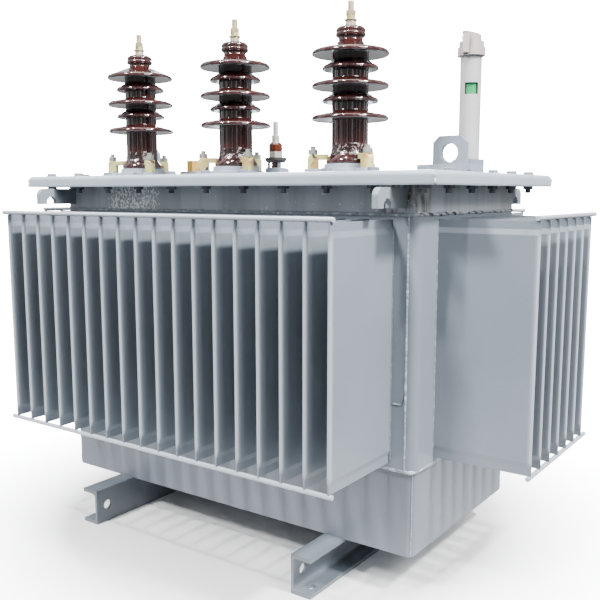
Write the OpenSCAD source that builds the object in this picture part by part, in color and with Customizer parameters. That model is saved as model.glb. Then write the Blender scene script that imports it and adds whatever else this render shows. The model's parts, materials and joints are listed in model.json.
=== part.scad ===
// Oil-filled distribution transformer: a finned steel tank on two channel skids, a bolted pan cover,
// three high-voltage porcelain bushings, a small neutral bushing, an oil-level gauge and lifting gear.
// Millimetres. X runs along the tank, the front fins face -Y, and Z is up from the ground.

/* [Base channels] */
// Height of each base channel
channel_h = 80; // [65:1:120]
// Width of a channel's flanges
channel_flange_w = 45; // [36:1:60]
// Thickness of a channel's web
channel_web_t = 6; // [4:0.5:10]
// Thickness of a channel's flanges
channel_flange_t = 8; // [5:0.5:12]
// Radius of a channel's inner corners
channel_root_r = 8; // [3:0.5:12]
// Length of each channel
channel_len = 680; // [560:5:820]
// Distance from the tank's end to a channel's web
channel_inset = 202; // [120:1:280]
// Diameter of the anchor holes in the lower flanges
anchor_hole_d = 18; // [10:1:24]
// Distance of the holes from a channel's ends
hole_inset = 32; // [24:1:60]
// Diameter of the hauling holes in the webs
haul_hole_d = 22; // [12:1:30]

/* [Tank] */
// Length of the tank over its end walls
tank_len = 960; // [820:2:1200]
// Width of the tank over its front and rear walls
tank_w = 460; // [400:2:560]
// Thickness of the tank's plates
plate_t = 5; // [3:0.5:8]
// Outer radius of the tank's vertical bends
bend_r = 18; // [10:1:30]
// How far an end wall runs round the corner onto the front and rear
wrap = 21; // [19:1:32]
// Height of the lower tank, from the channels to the foot of the finned walls
lower_h = 168; // [100:1:260]
// How far the finned walls lap over the lower tank
lap = 20; // [10:1:40]
// Height of the finned walls
wall_h = 477; // [380:1:640]
// Height of the plain neck above the finned walls
neck_h = 59; // [40:1:100]

/* [Cooling fins] */
// Distance from fin to fin
fin_pitch = 50; // [40:0.5:70]
// Least distance from the tank's end to the outer front and rear fins
long_fin_edge = 50; // [40:1:90]
// Least distance from the tank's front and rear to the outer end fins
end_fin_edge = 75; // [40:1:120]
// Depth of the front and rear fins
long_fin_depth = 205; // [120:1:260]
// Depth of the end fins
end_fin_depth = 192; // [120:1:260]
// Thickness of a fin
fin_t = 8; // [6:0.5:12]
// Thickness where a fin is pressed flat at its top and bottom
pinch_t = 3; // [2:0.5:4]
// Height of the flat pressed strip
pinch_h = 15; // [8:1:24]
// Height over which a fin swells to its full thickness
pinch_taper = 10; // [4:1:24]
// Distance of the fins from the foot of their wall
fin_margin = 12; // [10:1:30]
// Distance of the fins from the top of their wall
fin_top_margin = 9; // [9:1:30]
// Diameter of the stay rods across the fin tips
rod_d = 9; // [6:0.5:14]
// How far the long stay rods pass the left fin
long_rod_left = 16; // [0:1:30]
// How far the long stay rods pass the right fin
long_rod_right = 2; // [0:1:30]
// How far the end stay rods pass the front fin
end_rod_front = 2; // [0:1:40]
// How far the end stay rods pass the rear fin
end_rod_rear = 32; // [0:1:40]

/* [Cover] */
// How far the cover's rim stands out from the tank's ends
end_over = 59; // [50:1:90]
// How far the cover's rim stands out from the tank's front and rear
side_over = 63; // [50:1:90]
// Height of the cover over its folded rim
cover_h = 25; // [20:1:40]
// Thickness of the cover plate
cover_t = 6; // [4:0.5:10]
// Outer radius of the cover's folded edge
cover_fold_r = 9; // [7:0.5:14]
// Thickness of the tank's bolting flange
flange_t = 12; // [8:0.5:16]
// Gap between the flange's edge and the inside of the rim
rim_clear = 3; // [1:0.5:6]

/* [Lifting gear] */
// Thickness of the lifting hooks
hook_t = 12; // [8:0.5:20]
// Reach of a hook from the tank
hook_len = 104; // [80:1:140]
// Height of a hook
hook_h = 36; // [30:1:44]
// Distance of a hook's outer face from the end of the tank
hook_inset = 24; // [18:1:60]
// Gap between a hook and the cover's rim
hook_drop = 4; // [2:0.5:10]
// Width of a hook's sling notch
notch_w = 26; // [18:1:36]
// Depth of a hook's sling notch
notch_d = 17; // [12:1:22]
// Distance from the tank to a sling notch
notch_inset = 58; // [24:1:64]
// Cut at a notch's upper corners
notch_chamfer = 8; // [2:0.5:9]
// Radius of a hook's outer top corner
hook_round = 16; // [6:1:20]
// Distance from the tank's end to a cover lug
lug_inset = 51; // [40:1:120]
// Width of a cover lug
lug_w = 72; // [60:1:100]
// Height of a cover lug over its base
lug_h = 57; // [48:1:90]
// Thickness of a cover lug
lug_t = 12; // [8:0.5:20]
// Cut at a lug's top corners
lug_chamfer = 13; // [4:1:20]
// Diameter of a lug's eye
eye_d = 37; // [20:1:44]
// Height of the eye over the base
eye_z = 23; // [22:0.5:36]
// Length of a lug's base plate
lug_base_len = 116; // [92:1:124]
// Width of a lug's base plate
lug_base_w = 64; // [40:1:100]
// Thickness of a lug's base plate
lug_base_t = 18; // [8:1:24]

/* [High-voltage bushings] */
// Distance from bushing to bushing
hv_pitch = 289; // [230:1:320]
// Distance from the tank's front to the row of bushings
hv_inset = 73; // [50:1:110]
// Thickness of a bushing's base plate
hv_base_t = 8; // [6:1:16]
// Height of the raised seat on the base plate
hv_seat_h = 9; // [6:1:24]
// Radius of the raised seat
hv_seat_r = 50; // [48:0.5:54]
// How far the base plate's hub stands out from the seat
hub_over = 8; // [4:0.5:14]
// Radius of the clamp bolt circle
clamp_circle_r = 72; // [69:0.5:80]
// Radius of the base plate's ears
ear_r = 17; // [14:0.5:22]
// Radius of the porcelain foot
foot_r = 46; // [42:0.5:48]
// Height of the porcelain foot's edge
foot_lip = 8; // [5:0.5:12]
// Height of the slope above the foot's edge
foot_slope = 12; // [8:0.5:16]
// Radius of the porcelain barrel
barrel_r = 35.5; // [28:0.5:38]
// Radius of the large sheds
shed_r = 74.5; // [60:0.5:85]
// Radius of the small sheds
small_shed_r = 54.5; // [48:0.5:60]
// Height of the lowest large shed's rim above the foot
first_shed_z = 86; // [70:1:100]
// Height from one large shed to the next
shed_step = 61; // [52:1:75]
// Number of large sheds
large_sheds = 3; // [2:1:4]
// Radius of a shed's lower edge
rim_r = 3; // [2:0.25:4]
// Width of the rounding on a shed's upper edge
edge_w = 8; // [5:0.5:12]
// Height of the rounding on a shed's upper edge
edge_h = 7; // [4:0.5:9]
// How far a shed's underside rises from its rim to the barrel
shed_hollow = 4; // [1:0.5:8]
// How far a shed's upper side rises from its rim to the barrel
shed_rise = 17; // [14:0.5:22]
// Radius of the fillet where a shed meets the barrel
shed_root_r = 5; // [2:0.5:7]
// Radius of the neck under the porcelain dome
neck_r = 23.5; // [18:0.5:26]
// Height of the neck's foot above the top shed's rim
neck_foot = 27.5; // [18:0.5:29]
// Radius of the porcelain dome
dome_r = 29; // [27:0.5:34]
// Height of the dome's lower edge above the top shed's rim
dome_foot = 31; // [30:0.5:36]
// Height of the porcelain above the top shed's rim
dome_top = 53; // [44:1:70]
// Diameter of the terminal stud
stud_d = 12; // [8:1:16]
// Height of the terminal above the porcelain
stud_h = 45; // [40:1:60]
// Diameter of the bush under the terminal's washer
bush_d = 20; // [16:0.5:26]
// Height of the bush
bush_h = 9; // [5:0.5:12]
// Diameter of the terminal's washer
washer_d = 25; // [20:0.5:30]
// Thickness of the washer
washer_t = 2; // [1:0.25:4]
// Width across a terminal nut's flats
nut_af = 17; // [14:0.5:24]
// Height of a terminal nut
nut_h = 8; // [5:0.5:10]
// Width of a clamp
clamp_w = 22; // [21:0.5:28]
// Width of a clamp's toe
clamp_toe_w = 12; // [8:0.5:18]
// Thickness of a clamp's arm
clamp_arm_t = 10; // [8:0.5:16]
// Thickness of a clamp's toe
clamp_toe_t = 5; // [3:0.5:12]
// Radius of a clamp's back
clamp_round = 9; // [4:0.5:10]
// Diameter of a clamp's bolt
clamp_bolt_d = 10; // [8:1:12]
// Width across a clamp nut's flats
clamp_nut_af = 16; // [13:0.5:19]
// Height of a clamp's nut
clamp_nut_h = 10; // [6:0.5:12]
// How far a clamp's bolt stands out of its nut
clamp_bolt_over = 6; // [2:0.5:12]

/* [Neutral bushing] */
// Place of the neutral bushing from the cover's centre
neutral_x = -12; // [-100:1:100]
// Radius of its base
neutral_base_r = 24; // [20:0.5:32]
// Height of its base
neutral_base_h = 19; // [10:0.5:26]
// Radius of the circle that its three legs stand on
leg_circle_r = 16; // [14:0.5:18]
// Diameter of a leg
leg_d = 6; // [4:0.5:7]
// Height of the legs
leg_h = 12; // [8:0.5:24]
// Radius of its porcelain waist
waist_r = 9.5; // [6:0.5:10]
// Radius of its pressing plate
press_r = 25; // [20:0.5:32]
// Radius of the pressing plate's underside
press_foot_r = 20; // [19:0.5:22]
// Height of the pressing plate's cone
press_cone_h = 5; // [3:0.5:8]
// Thickness of the pressing plate's rim
press_t = 6; // [3:0.5:9]
// Width across the flats of the nut under its cap
cap_nut_af = 29; // [24:0.5:34]
// Height of the nut under its cap
cap_nut_h = 14; // [8:0.5:18]
// Radius of its porcelain cap
cap_r = 15.5; // [13:0.5:20]
// Height of its porcelain cap
cap_h = 19; // [12:0.5:26]
// Rounding of its porcelain cap
cap_edge = 3; // [1:0.5:5]
// Height of its terminal
neutral_stud_h = 49; // [40:1:60]

/* [Oil gauge and plug] */
// Distance from the tank's right end to the gauge
gauge_end_inset = 70; // [50:1:120]
// Distance from the tank's rear to the gauge
gauge_rear_inset = 98; // [60:1:160]
// Radius of the gauge's flanges
gauge_flange_r = 33; // [28:0.5:40]
// Height of the two gauge flanges
gauge_flange_h = 32; // [20:1:50]
// Gap between the two gauge flanges
gauge_groove = 2; // [1:0.5:4]
// Radius of the gauge tube
gauge_r = 22.5; // [20:0.5:27]
// Height of the gauge tube
gauge_tube_h = 216; // [150:1:280]
// Wall of the gauge tube
gauge_wall = 4; // [2:0.5:6]
// Width of the sight window
window_w = 27; // [16:0.5:30]
// Height of the sight window
window_h = 24; // [16:0.5:40]
// Distance of the window's top from the top of the tube
window_drop = 56; // [40:1:100]
// How far the sight glass stands past the window
glass_over = 6; // [2:0.5:12]
// Turn of the window away from the tank's front
gauge_turn = 30; // [-90:1:90]
// Radius of the collar on the gauge tube
collar_r = 29; // [28:0.5:34]
// Height of the collar
collar_h = 17; // [12:0.5:30]
// Radius of the shoulder over the collar
shoulder_ring_r = 26; // [22:0.5:27]
// Height of the shoulder
shoulder_ring_h = 12; // [6:0.5:16]
// Radius of the hood over the filler
hood_r = 20; // [15:0.5:21]
// Height of the hood's high side over the shoulder
hood_high = 23; // [16:0.5:30]
// Height of the hood's low side over the shoulder
hood_low = 13; // [6:0.5:15]
// Width of the hasp that holds the hood
hasp_w = 13; // [8:0.5:16]
// Thickness of the hasp
hasp_t = 5; // [3:0.5:7]
// Distance from the hasp to the gauge's axis, across the window
hasp_x = 14.5; // [8:0.5:16]
// Distance of the hasp's lower end from the foot of the collar
hasp_lift = 4; // [2:0.5:10]
// Distance from the tank's left end to the relief plug
plug_inset = 209; // [150:1:260]
// Radius of the plug's flange
plug_flange_r = 34; // [26:1:40]
// Thickness of the plug's flange
plug_flange_t = 14; // [8:1:20]
// Width across the plug's flats
plug_af = 30; // [22:1:40]
// Height of the plug
plug_h = 27; // [16:1:40]

/* [Hidden] */
$fn = 64;
paint = "lightsteelblue";
porcelain = "saddlebrown";
zinc = "palegoldenrod";

// How far a cut runs past the face that it opens
cut = 1;

tank_z = channel_h;
wall_z = tank_z + lower_h;
fin_z = wall_z + fin_margin;
fin_h = wall_h - fin_margin - fin_top_margin;
neck_z = wall_z + wall_h;
flange_z = neck_z + neck_h;
cover_z = flange_z + flange_t + cover_t;
rim_z = cover_z - cover_h;
cover_len = tank_len + 2 * end_over;
cover_w = tank_w + 2 * side_over;
lower_len = tank_len - 2 * plate_t;
lower_w = tank_w - 2 * plate_t;
lower_bend_r = bend_r - plate_t;
channel_gap = tank_len - 2 * channel_inset;
hole_span = channel_len - 2 * hole_inset;
anchor_x = channel_gap / 2 + channel_web_t + (channel_flange_w - channel_web_t) / 2;
long_fins = floor((tank_len - 2 * long_fin_edge) / fin_pitch) + 1;
end_fins = floor((tank_w - 2 * end_fin_edge) / fin_pitch) + 1;
hook_top = rim_z - hook_drop;
lug_x = tank_len / 2 - lug_inset;
hv_row = tank_w / 2 - hv_inset;
hub_r = hv_seat_r + hub_over;
foot_z = cover_z + hv_base_t + hv_seat_h;
porcelain_top = first_shed_z + (large_sheds - 1) * shed_step + dome_top;
seat_clear = 0.3;
clamp_arm_z = hv_seat_h + foot_lip + seat_clear;
clamp_top = clamp_arm_z + clamp_arm_t;

// Radius where the slope of the porcelain foot ends
slope_r = barrel_r + 1.5;
// Radius that a clamp's toe reaches in to
toe_r = (foot_r + slope_r) / 2;
// Share of a shed step by which the small sheds stand above the middle
small_shed_lift = 0.05;
// Dome in section, from its lower edge up: shares of its radius and of its height
dome_shape = [
  [0.88, 0], [1, 0.1], [1, 0.32], [0.94, 0.4],
  [0.98, 0.48], [0.98, 0.68], [0.84, 0.87], [0.42, 1]
];

press_z = cover_z + neutral_base_h + leg_h;
cap_nut_z = press_z + press_cone_h + press_t;
cap_z = cap_nut_z + cap_nut_h;
gauge_x = tank_len / 2 - gauge_end_inset;
gauge_y = tank_w / 2 - gauge_rear_inset;
gauge_tube_z = cover_z + gauge_flange_h;
collar_z = gauge_tube_z + gauge_tube_h;
window_z = collar_z - window_drop - window_h;
hood_z = collar_h + shoulder_ring_h;
hasp_y = collar_r + hasp_t / 2;
plug_x = plug_inset - tank_len / 2;

// A rectangle with round corners
module rounded_rect(l, w, r) {
  square([l - 2 * r, w], center = true);
  square([l, w - 2 * r], center = true);
  for (x = [-1, 1], y = [-1, 1])
    translate([x * (l / 2 - r), y * (w / 2 - r)])
      circle(r);
}

// The outline of a bent plate that runs round the whole tank
module plate_ring(l, w, r, t) {
  difference() {
    rounded_rect(l, w, r);
    rounded_rect(l - 2 * t, w - 2 * t, r - t);
  }
}

// The flat plate of the front side, between the two end walls
module flat_side(l, w, t, h) {
  translate([-(l / 2 - wrap), -w / 2, 0])
    cube([l - 2 * wrap, t, h]);
}

// The right end wall with its two bends
module bent_end(l, w, r, t, h) {
  linear_extrude(h)
    intersection() {
      plate_ring(l, w, r, t);
      translate([l / 2 - wrap, -w / 2])
        square([wrap, w]);
    }
}

// The space between a channel's flanges, with round corners beside the web
module channel_room(l, h) {
  translate([channel_root_r, 0])
    square([l, h]);
  translate([0, channel_root_r])
    square([l, h - 2 * channel_root_r]);
  for (y = [channel_root_r, h - channel_root_r])
    translate([channel_root_r, y])
      circle(channel_root_r);
}

// Rolled channel on edge, web towards the middle, flanges outwards
module base_channel() {
  color(paint)
    difference() {
      translate([channel_gap / 2, 0, 0])
        rotate([90, 0, 0])
          linear_extrude(channel_len, center = true)
            difference() {
              square([channel_flange_w, channel_h]);
              translate([channel_web_t, channel_flange_t])
                channel_room(channel_flange_w, channel_h - 2 * channel_flange_t);
            }
      for (y = [-1, 1]) {
        translate([anchor_x, y * hole_span / 2, -cut])
          cylinder(d = anchor_hole_d, h = channel_flange_t + 2 * cut);
        translate([channel_gap / 2 - cut, y * hole_span / 2, channel_h / 2])
          rotate([0, 90, 0])
            cylinder(d = haul_hole_d, h = channel_web_t + 2 * cut);
      }
    }
}

module base_channel_right() {
  base_channel();
}

module base_channel_left() {
  mirror([1, 0, 0])
    base_channel();
}

module tank_floor() {
  color(paint)
    translate([0, 0, tank_z])
      linear_extrude(plate_t)
        rounded_rect(lower_len - 2 * plate_t, lower_w - 2 * plate_t, lower_bend_r);
}

module lower_front_wall() {
  color(paint)
    translate([0, 0, tank_z])
      flat_side(lower_len, lower_w, plate_t, lower_h + lap);
}

module lower_rear_wall() {
  mirror([0, 1, 0])
    lower_front_wall();
}

module lower_right_end() {
  color(paint)
    translate([0, 0, tank_z])
      bent_end(lower_len, lower_w, lower_bend_r, plate_t, lower_h + lap);
}

module lower_left_end() {
  mirror([1, 0, 0])
    lower_right_end();
}

// Places of the fins along their wall
function fin_places(count) = [for (i = [0 : count - 1]) (i - (count - 1) / 2) * fin_pitch];

// Thickness of a fin over its height: pressed flat at both ends
module fin_face() {
  a = pinch_t / 2;
  b = fin_t / 2;
  z1 = pinch_h;
  z2 = pinch_h + pinch_taper;
  polygon([[-a, 0], [a, 0], [a, z1], [b, z2], [b, fin_h - z2], [a, fin_h - z1], [a, fin_h],
           [-a, fin_h], [-a, fin_h - z1], [-b, fin_h - z2], [-b, z2], [-a, z1]]);
}

// Plan of a fin that stands out towards -Y, with a round tip
module fin_plan(depth) {
  translate([-fin_t / 2, -depth + fin_t / 2])
    square([fin_t, depth - fin_t / 2 + cut]);
  translate([0, -depth + fin_t / 2])
    circle(d = fin_t);
}

// A row of fins that stands out towards -Y from y = 0
module fin_bank(count, depth) {
  translate([0, 0, fin_z])
    intersection() {
      linear_extrude(fin_h)
        for (x = fin_places(count))
          translate([x, 0])
            fin_plan(depth);
      translate([0, 2 * cut, 0])
        rotate([90, 0, 0])
          linear_extrude(depth + 4 * cut)
            for (x = fin_places(count))
              translate([x, 0])
                fin_face();
    }
}

// Stay rods that lie on the top and bottom edges of a row of fins, at the tips
module fin_rods(count, depth, over_start, over_end) {
  reach = (count - 1) / 2 * fin_pitch + fin_t / 2;
  color(paint)
    for (z = [fin_z - rod_d / 2, fin_z + fin_h + rod_d / 2])
      translate([-reach - over_start, -depth + rod_d / 2, z])
        rotate([0, 90, 0])
          cylinder(d = rod_d, h = 2 * reach + over_start + over_end);
}

module front_fin_wall() {
  color(paint) {
    translate([0, 0, wall_z])
      flat_side(tank_len, tank_w, plate_t, wall_h);
    translate([0, -tank_w / 2, 0])
      fin_bank(long_fins, long_fin_depth);
  }
}

module rear_fin_wall() {
  mirror([0, 1, 0])
    front_fin_wall();
}

module right_fin_end() {
  color(paint) {
    translate([0, 0, wall_z])
      bent_end(tank_len, tank_w, bend_r, plate_t, wall_h);
    translate([tank_len / 2, 0, 0])
      rotate([0, 0, 90])
        fin_bank(end_fins, end_fin_depth);
  }
}

module left_fin_end() {
  mirror([1, 0, 0])
    right_fin_end();
}

module front_fin_rods() {
  translate([0, -tank_w / 2, 0])
    fin_rods(long_fins, long_fin_depth, long_rod_left, long_rod_right);
}

module rear_fin_rods() {
  mirror([0, 1, 0])
    front_fin_rods();
}

module right_fin_rods() {
  translate([tank_len / 2, 0, 0])
    rotate([0, 0, 90])
      fin_rods(end_fins, end_fin_depth, end_rod_front, end_rod_rear);
}

module left_fin_rods() {
  mirror([1, 0, 0])
    right_fin_rods();
}

module tank_neck() {
  color(paint)
    translate([0, 0, neck_z])
      linear_extrude(neck_h)
        plate_ring(tank_len, tank_w, bend_r, plate_t);
}

// Flat ring that the cover is bolted to
module tank_flange() {
  inset = cover_t + rim_clear;
  color(paint)
    translate([0, 0, flange_z])
      linear_extrude(flange_t)
        difference() {
          square([cover_len - 2 * inset, cover_w - 2 * inset], center = true);
          rounded_rect(tank_len - 2 * plate_t, tank_w - 2 * plate_t, bend_r - plate_t);
        }
}

// A block whose upper edges are rounded like a folded plate
module folded_block(l, w, h, r) {
  intersection() {
    rotate([90, 0, 0])
      linear_extrude(w, center = true)
        fold_profile(l, h, r);
    rotate([90, 0, 90])
      linear_extrude(l, center = true)
        fold_profile(w, h, r);
  }
}

// A rectangle standing on y = 0 with round upper corners
module fold_profile(l, h, r) {
  translate([-l / 2, 0])
    square([l, h - r]);
  translate([-l / 2 + r, 0])
    square([l - 2 * r, h]);
  for (x = [-1, 1])
    translate([x * (l / 2 - r), h - r])
      circle(r);
}

// Pan cover: a flat plate whose four edges are folded down and welded at the corners
module cover() {
  color(paint)
    translate([0, 0, rim_z])
      difference() {
        folded_block(cover_len, cover_w, cover_h, cover_fold_r);
        translate([0, 0, -cover_t])
          folded_block(cover_len - 2 * cover_t, cover_w - 2 * cover_t, cover_h, cover_fold_r - cover_t);
      }
}

// Lifting hook at the front right corner: an upright plate with a notch open downwards
module lifting_hook() {
  color(paint)
    translate([tank_len / 2 - hook_inset - hook_t, -tank_w / 2, hook_top - hook_h])
      rotate([90, 0, 90])
        linear_extrude(hook_t)
          hook_outline();
}

// Side view of a hook: x runs out from the tank to -X, y is up
module hook_outline() {
  difference() {
    union() {
      translate([-hook_len, 0])
        square([hook_len, hook_h - hook_round]);
      translate([-hook_len + hook_round, 0])
        square([hook_len - hook_round, hook_h]);
      translate([-hook_len + hook_round, hook_h - hook_round])
        circle(hook_round);
    }
    translate([-notch_inset - notch_w / 2, 0])
      polygon([[-notch_w / 2, -cut], [notch_w / 2, -cut], [notch_w / 2, notch_d - notch_chamfer],
               [notch_w / 2 - notch_chamfer, notch_d], [-notch_w / 2 + notch_chamfer, notch_d],
               [-notch_w / 2, notch_d - notch_chamfer]]);
  }
}

module front_right_hook() {
  lifting_hook();
}

module front_left_hook() {
  mirror([1, 0, 0])
    lifting_hook();
}

module rear_right_hook() {
  mirror([0, 1, 0])
    lifting_hook();
}

module rear_left_hook() {
  rotate([0, 0, 180])
    lifting_hook();
}

module lug_bases() {
  color(paint)
    for (x = [-1, 1])
      translate([x * lug_x - lug_base_len / 2, -lug_base_w / 2, cover_z])
        cube([lug_base_len, lug_base_w, lug_base_t]);
}

// Two upright lugs with round eyes, for lifting the cover with the core
module cover_lugs() {
  color(paint)
    for (x = [-1, 1])
      translate([x * lug_x, lug_t / 2, cover_z + lug_base_t])
        rotate([90, 0, 0])
          difference() {
            linear_extrude(lug_t)
              polygon([[-lug_w / 2, 0], [lug_w / 2, 0], [lug_w / 2, lug_h - lug_chamfer],
                       [lug_w / 2 - lug_chamfer, lug_h], [-lug_w / 2 + lug_chamfer, lug_h],
                       [-lug_w / 2, lug_h - lug_chamfer]]);
            translate([0, eye_z, -cut])
              cylinder(d = eye_d, h = lug_t + 2 * cut);
          }
}

// Moves its children to the place of a high-voltage bushing on the cover
module at_bushing(index) {
  translate([(index - 2) * hv_pitch, -hv_row, 0])
    children();
}

// Copies its children to the three clamp places of a bushing
module at_clamps() {
  for (a = [90, 210, 330])
    rotate([0, 0, a])
      children();
}

// Base plate with three ears and a raised seat for the porcelain
module hv_base() {
  color(paint)
    translate([0, 0, cover_z]) {
      linear_extrude(hv_base_t) {
        circle(hub_r);
        at_clamps() {
          translate([clamp_circle_r, 0])
            circle(ear_r);
          translate([0, -ear_r])
            square([clamp_circle_r, 2 * ear_r]);
        }
      }
      cylinder(r = hv_seat_r, h = hv_base_t + hv_seat_h);
    }
}

// Outline of one shed with its rim at height z: out under it, round the rim and up to radius in_r
function shed_outline(r, z, in_r, rise) = concat(
  [[barrel_r, z + shed_hollow]],
  [for (a = [-90 : 30 : -30]) [r - rim_r + rim_r * cos(a), z + rim_r * sin(a)]],
  [for (a = [0 : 22.5 : 90]) [r - edge_w + edge_w * cos(a), z + edge_h * sin(a)]],
  [for (a = [0 : 30 : 90]) [in_r + shed_root_r * (1 - sin(a)), z + rise - shed_root_r * cos(a)]]
);

// Height of a shed's rim above the foot: even sheds are large, odd ones small
function shed_z(i) = first_shed_z + (i / 2 + (i % 2) * small_shed_lift) * shed_step;

// All sheds from the lowest up: the top one runs on to the neck
function sheds_outline(top) = [
  for (i = [0 : top])
    each shed_outline(i % 2 == 0 ? shed_r : small_shed_r, shed_z(i),
                      i < top ? barrel_r : neck_r, i < top ? shed_rise : neck_foot)
];

// Half section of the porcelain: foot, barrel, alternating sheds, neck and dome
module porcelain_section() {
  top = 2 * large_sheds - 2;
  dome_z = shed_z(top) + dome_foot;
  polygon(concat(
    [[0, 0], [foot_r, 0], [foot_r, foot_lip]],
    [[slope_r, foot_lip + foot_slope], [barrel_r, foot_lip + 2 * foot_slope]],
    sheds_outline(top),
    [[neck_r, dome_z]],
    [for (p = dome_shape) [p[0] * dome_r, dome_z + p[1] * (dome_top - dome_foot)]],
    [[0, porcelain_top]]
  ));
}

module hv_porcelain() {
  color(porcelain)
    translate([0, 0, foot_z])
      rotate_extrude()
        porcelain_section();
}

// Height of the porcelain foot's slope at radius r
function foot_height(r) = foot_lip + (foot_r - r) * foot_slope / (foot_r - slope_r);

// Plan of a clamp: round about its bolt, and narrower towards the toe
module clamp_plan() {
  translate([clamp_circle_r, 0])
    circle(d = clamp_w);
  polygon([[clamp_circle_r, -clamp_w / 2], [clamp_circle_r, clamp_w / 2],
           [toe_r, clamp_toe_w / 2], [toe_r, -clamp_toe_w / 2]]);
}

// A clamp in its radial section: heel on the ear, round back, toe on the slope of the porcelain foot
module clamp_section() {
  heel_in = clamp_circle_r - clamp_w / 2;
  round_r = clamp_circle_r + clamp_w / 2 - clamp_round;
  round_z = clamp_top - clamp_round;
  toe_z = hv_seat_h + foot_height(toe_r) + seat_clear;
  polygon(concat(
    [[heel_in, 0], [round_r + clamp_round, 0]],
    [for (a = [0 : 30 : 90]) [round_r + clamp_round * cos(a), round_z + clamp_round * sin(a)]],
    [[toe_r, toe_z + clamp_toe_t], [toe_r, toe_z], [foot_r, clamp_arm_z], [heel_in, clamp_arm_z]]
  ));
}

// One cast clamp with its bolt and nut
module clamp() {
  intersection() {
    linear_extrude(clamp_top + clamp_nut_h)
      clamp_plan();
    rotate([90, 0, 0])
      linear_extrude(clamp_w + 2 * cut, center = true)
        clamp_section();
  }
  translate([clamp_circle_r, 0, 0]) {
    cylinder(d = clamp_bolt_d, h = clamp_top + clamp_nut_h + clamp_bolt_over);
    translate([0, 0, clamp_top])
      hex_nut(clamp_nut_af, clamp_nut_h);
  }
}

// Hexagon nut by the width across its flats
module hex_nut(af, h) {
  cylinder(d = af / cos(30), h = h, $fn = 6);
}

module hv_clamps() {
  color(zinc)
    translate([0, 0, cover_z + hv_base_t])
      at_clamps()
        clamp();
}

// Bush, washer and two nuts on a stud, the upper nut turned against the lower one
module hv_terminal() {
  nut_z = bush_h + washer_t;
  color(zinc)
    translate([0, 0, foot_z + porcelain_top]) {
      cylinder(d = bush_d, h = bush_h);
      translate([0, 0, bush_h])
        cylinder(d = washer_d, h = washer_t);
      translate([0, 0, nut_z])
        hex_nut(nut_af, nut_h);
      translate([0, 0, nut_z + nut_h])
        rotate([0, 0, 20])
          hex_nut(nut_af, nut_h);
      cylinder(d = stud_d, h = stud_h);
    }
}

module hv_base_1() {
  at_bushing(1)
    hv_base();
}

module hv_base_2() {
  at_bushing(2)
    hv_base();
}

module hv_base_3() {
  at_bushing(3)
    hv_base();
}

module hv_porcelain_1() {
  at_bushing(1)
    hv_porcelain();
}

module hv_porcelain_2() {
  at_bushing(2)
    hv_porcelain();
}

module hv_porcelain_3() {
  at_bushing(3)
    hv_porcelain();
}

module hv_clamps_1() {
  at_bushing(1)
    hv_clamps();
}

module hv_clamps_2() {
  at_bushing(2)
    hv_clamps();
}

module hv_clamps_3() {
  at_bushing(3)
    hv_clamps();
}

module hv_terminal_1() {
  at_bushing(1)
    hv_terminal();
}

module hv_terminal_2() {
  at_bushing(2)
    hv_terminal();
}

module hv_terminal_3() {
  at_bushing(3)
    hv_terminal();
}

// Round base of the neutral bushing with three legs that carry its pressing plate
module neutral_base() {
  color(paint)
    translate([neutral_x, 0, cover_z]) {
      cylinder(r = neutral_base_r, h = neutral_base_h);
      at_clamps()
        translate([leg_circle_r, 0, 0])
          cylinder(d = leg_d, h = neutral_base_h + leg_h);
    }
}

// Porcelain waist between the legs, and the porcelain cap above the pressing plate
module neutral_porcelain() {
  color(porcelain)
    translate([neutral_x, 0, 0]) {
      translate([0, 0, cover_z + neutral_base_h])
        cylinder(r = waist_r, h = leg_h);
      translate([0, 0, cap_z])
        rotate_extrude()
          polygon([[0, 0], [cap_r, 0], [cap_r, cap_h - cap_edge], [cap_r - cap_edge, cap_h], [0, cap_h]]);
    }
}

// Dark plate with a conical underside
module neutral_ring() {
  color("dimgray")
    translate([neutral_x, 0, press_z]) {
      cylinder(r1 = press_foot_r, r2 = press_r, h = press_cone_h);
      translate([0, 0, press_cone_h])
        cylinder(r = press_r, h = press_t);
    }
}

// Nut under the porcelain cap, and washer, nuts and stud above it
module neutral_terminal() {
  color(zinc)
    translate([neutral_x, 0, 0]) {
      translate([0, 0, cap_nut_z])
        hex_nut(cap_nut_af, cap_nut_h);
      translate([0, 0, cap_z + cap_h]) {
        cylinder(d = washer_d, h = washer_t);
        translate([0, 0, washer_t])
          hex_nut(nut_af, 2 * nut_h);
        cylinder(d = stud_d, h = neutral_stud_h);
      }
    }
}

// Two bolted flanges with a groove between them
module gauge_flange() {
  disc_h = (gauge_flange_h - gauge_groove) / 2;
  color(paint)
    translate([gauge_x, gauge_y, cover_z]) {
      cylinder(r = gauge_flange_r, h = disc_h);
      cylinder(r = gauge_flange_r - gauge_groove, h = gauge_flange_h);
      translate([0, 0, disc_h + gauge_groove])
        cylinder(r = gauge_flange_r, h = disc_h);
    }
}

// Tube with a window cut through its wall, turned to the side that is read
module gauge_tube() {
  color("gainsboro")
    translate([gauge_x, gauge_y, 0])
      difference() {
        translate([0, 0, gauge_tube_z])
          cylinder(r = gauge_r, h = gauge_tube_h);
        translate([0, 0, gauge_tube_z + gauge_wall])
          cylinder(r = gauge_r - gauge_wall, h = gauge_tube_h);
        rotate([0, 0, gauge_turn])
          translate([-window_w / 2, -gauge_r - cut, window_z])
            cube([window_w, gauge_r + cut, window_h]);
      }
}

// Green sight glass behind the window
module gauge_window() {
  color("seagreen")
    translate([gauge_x, gauge_y, window_z - glass_over])
      cylinder(r = gauge_r - gauge_wall - seat_clear, h = window_h + 2 * glass_over);
}

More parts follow.
